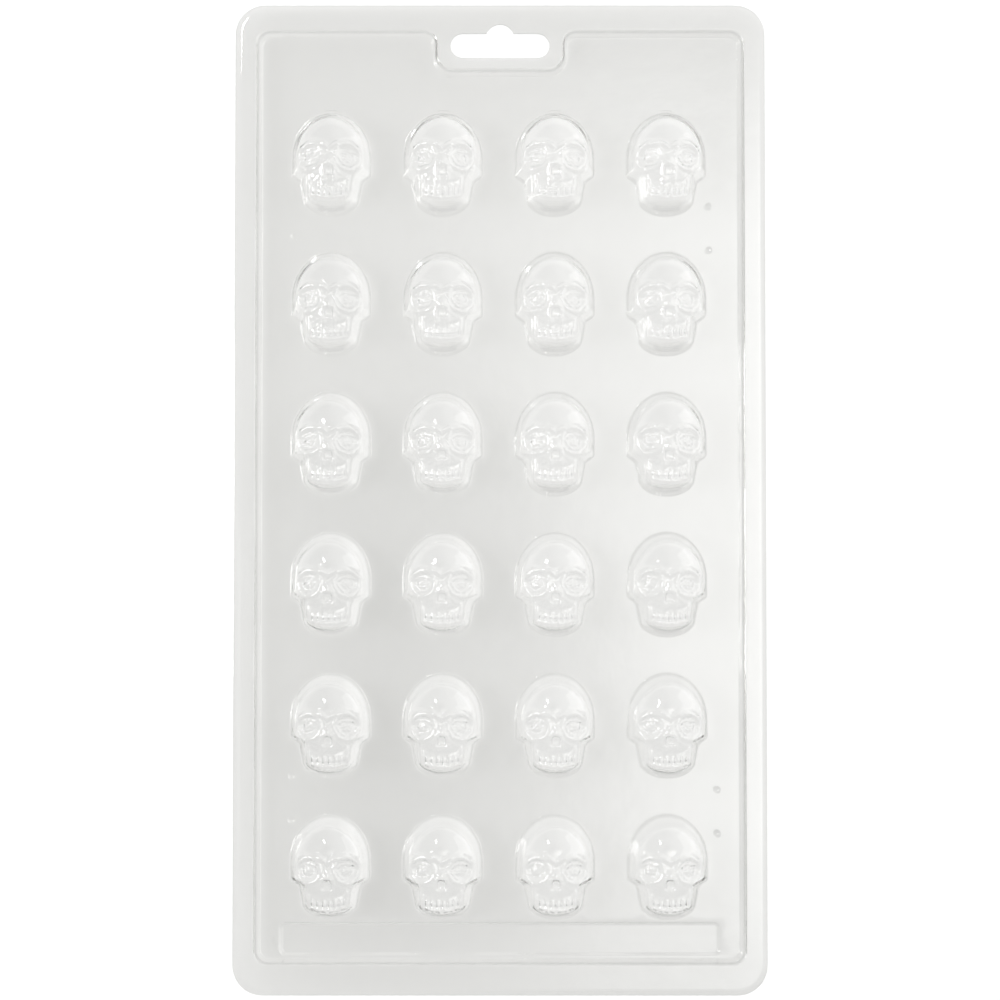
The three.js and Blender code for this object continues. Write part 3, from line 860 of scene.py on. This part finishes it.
seen, mirrored, through = (
    paper.node("LightPath", {}, f"Is {ray} Ray") for ray in ("Camera", "Glossy", "Transmission")
)
looked_at = seen.maths("MAXIMUM", seen.maths("MAXIMUM", seen, mirrored), through)
surface = paper.node("MixShader", {0: looked_at, 1: matt, 2: lit})
paper.node("OutputMaterial", {"Surface": surface})
floor_mesh.materials.append(floor_paper)

# Room. Soft light from all around, brighter to the right of straight overhead and dimmer where
# the camera's stand hides the ceiling. The camera itself sees white.
world = bpy.data.worlds.new("studio")
bpy.context.scene.world = world
room = blank_tree(world)
facing = room.node("TexCoord", {}, "Generated")
to_right, to_head, upwards = (room.node("SeparateXYZ", {"Vector": facing}, axis) for axis in "XYZ")

stand_left, stand_near, stand_length = 0.042, 0.1, 0.4
stand_edge, stand_shade = (0.022, 0.0), 0.85
from_stand_side = to_right + stand_left
from_stand_end = to_head + stand_near
from_stand = from_stand_side * from_stand_side + from_stand_end * from_stand_end * stand_length
stand = from_stand.ramp(*stand_edge)

ceiling_level, ceiling_rise, ceiling_sides = 0.4, 2.85, (-0.16, 0.26)
corner_rise, corner_ends, corner_sides = 0.45, (0.04, -0.04), (-0.06, -0.13)
ends_shade, ends_edge = 0.75, (0.02, 0.09)
ceiling = ceiling_level + ceiling_rise * to_right.ramp(*ceiling_sides) - stand_shade * stand
corner = corner_rise * to_head.ramp(*corner_ends) * to_right.ramp(*corner_sides)
ceiling = ceiling + corner
ceiling = ceiling * (1 - ends_shade * (to_head * to_head).ramp(*ends_edge))

wall_level, low_wall_rise, low_wall_edge = 0.45, 0.5, (0.45, 0.25)
right_wall_rise, right_wall_edge = 0.5, (0.0, 0.6)
near_wall_level, near_wall_edge = 0.1, (-0.62, -0.2)
aside_right, aside_head = 0.85, 0.35
aside = to_right * aside_right + to_head * aside_head
wall_light = wall_level + low_wall_rise * upwards.ramp(*low_wall_edge)
wall_light = wall_light + right_wall_rise * aside.ramp(*right_wall_edge)
near_wall = near_wall_level + (1 - near_wall_level) * to_head.ramp(*near_wall_edge)
wall_light = wall_light * near_wall

overhead_edge = (0.84, 0.97)
overhead = upwards.ramp(*overhead_edge)
light = overhead * ceiling + (1 - overhead) * wall_light
seen = room.node("LightPath", {}, "Is Camera Ray")
light = seen + (1 - seen) * light
back = room.node("Background", {"Color": (1, 1, 1, 1), "Strength": light})
room.node("OutputWorld", {"Surface": back})


# Lamps. A tall window to the left, a broad one low on the right, and a small one that puts
# the bright dots on the foreheads. Places and sizes are in metres, powers in watts.
def lamp(name, place, size, power):
    """Rectangular lamp aimed at the middle of the sheet."""
    data = bpy.data.lights.new(name, "AREA")
    data.shape = "RECTANGLE"
    data.size, data.size_y = size
    data.energy = power
    made = bpy.data.objects.new(name, data)
    made.location = place
    made.rotation_euler = (-Vector(place)).to_track_quat("-Z", "Y").to_euler()
    bpy.context.scene.collection.objects.link(made)


lamp("window_lamp", (-0.90, 0.02, 0.62), (0.3, 0.55), 4.8)
lamp("side_lamp", (0.66, 0.24, 0.34), (0.8, 0.5), 0.9)
lamp("small_lamp", (-0.215, 0.327, 0.58), (0.05, 0.12), 0.4)

# Camera. It looks straight down on the sheet from a short way off, tilted by a little, so the
# skulls lean outwards from the middle of the picture.
view_distance, view_tilt, view_angle, view_shift = 0.442, radians(1.36), radians(31.55), -0.7
focus = Vector((0, view_shift * MM, (flange_under + thickness) * MM))
camera_data = bpy.data.cameras.new("camera")
camera_data.angle = view_angle
camera = bpy.data.objects.new("camera", camera_data)
camera.location = focus + view_distance * Vector((0, -sin(view_tilt), cos(view_tilt)))
camera.rotation_euler = (view_tilt, 0, 0)
bpy.context.scene.collection.objects.link(camera)
bpy.context.scene.camera = camera
bpy.context.scene.view_settings.view_transform = "Standard"
